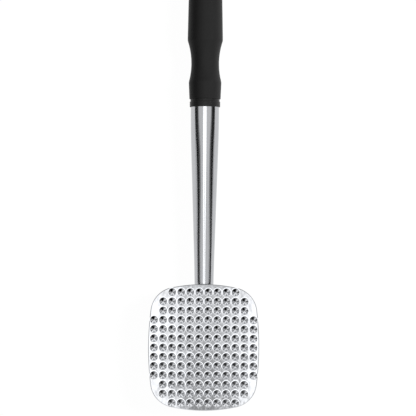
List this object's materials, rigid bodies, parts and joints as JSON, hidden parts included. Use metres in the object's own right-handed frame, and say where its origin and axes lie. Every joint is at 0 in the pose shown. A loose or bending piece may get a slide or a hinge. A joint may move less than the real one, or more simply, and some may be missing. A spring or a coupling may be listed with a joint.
{
  "type": "meat mallet",
  "caption": "Meat mallet with a cast head, one face of blunt conical teeth and one flat face, on a tapered steel neck with a waisted soft grip and a hanging hole.",
  "frame": {"origin": "centre of the flat striking face, on the back of the head", "axes": "+Y along the handle from the head to the grip, +Z out of the toothed face, +X across the head; the mallet lies on its flat face on the XY plane"},
  "size_m": [0.077, 0.3358, 0.0274],
  "materials": {
    "polished_casting": "polished",
    "polished_tube": "polished",
    "plain_steel": "satin",
    "grip_rubber": "satin",
    "black_plastic": "satin",
    "seal_rubber": "matte",
    "natural_nylon": "satin"
  },
  "bodies": {
    "root": {"head_casting": "polished_casting", "thread_insert": "plain_steel", "locating_pin": "plain_steel", "jam_nut": "plain_steel", "tie_rod": "plain_steel", "head_seal": "seal_rubber", "lower_bush": "natural_nylon", "neck_tube": "polished_tube", "tube_plug": "black_plastic", "collar_seal": "seal_rubber", "collar_ring": "black_plastic", "grip_core": "black_plastic", "grip_sleeve": "grip_rubber", "flat_washer": "plain_steel", "spring_washer": "plain_steel", "tie_nut": "plain_steel", "cap_seal": "seal_rubber", "end_cap": "black_plastic"}
  },
  "joints": []
}
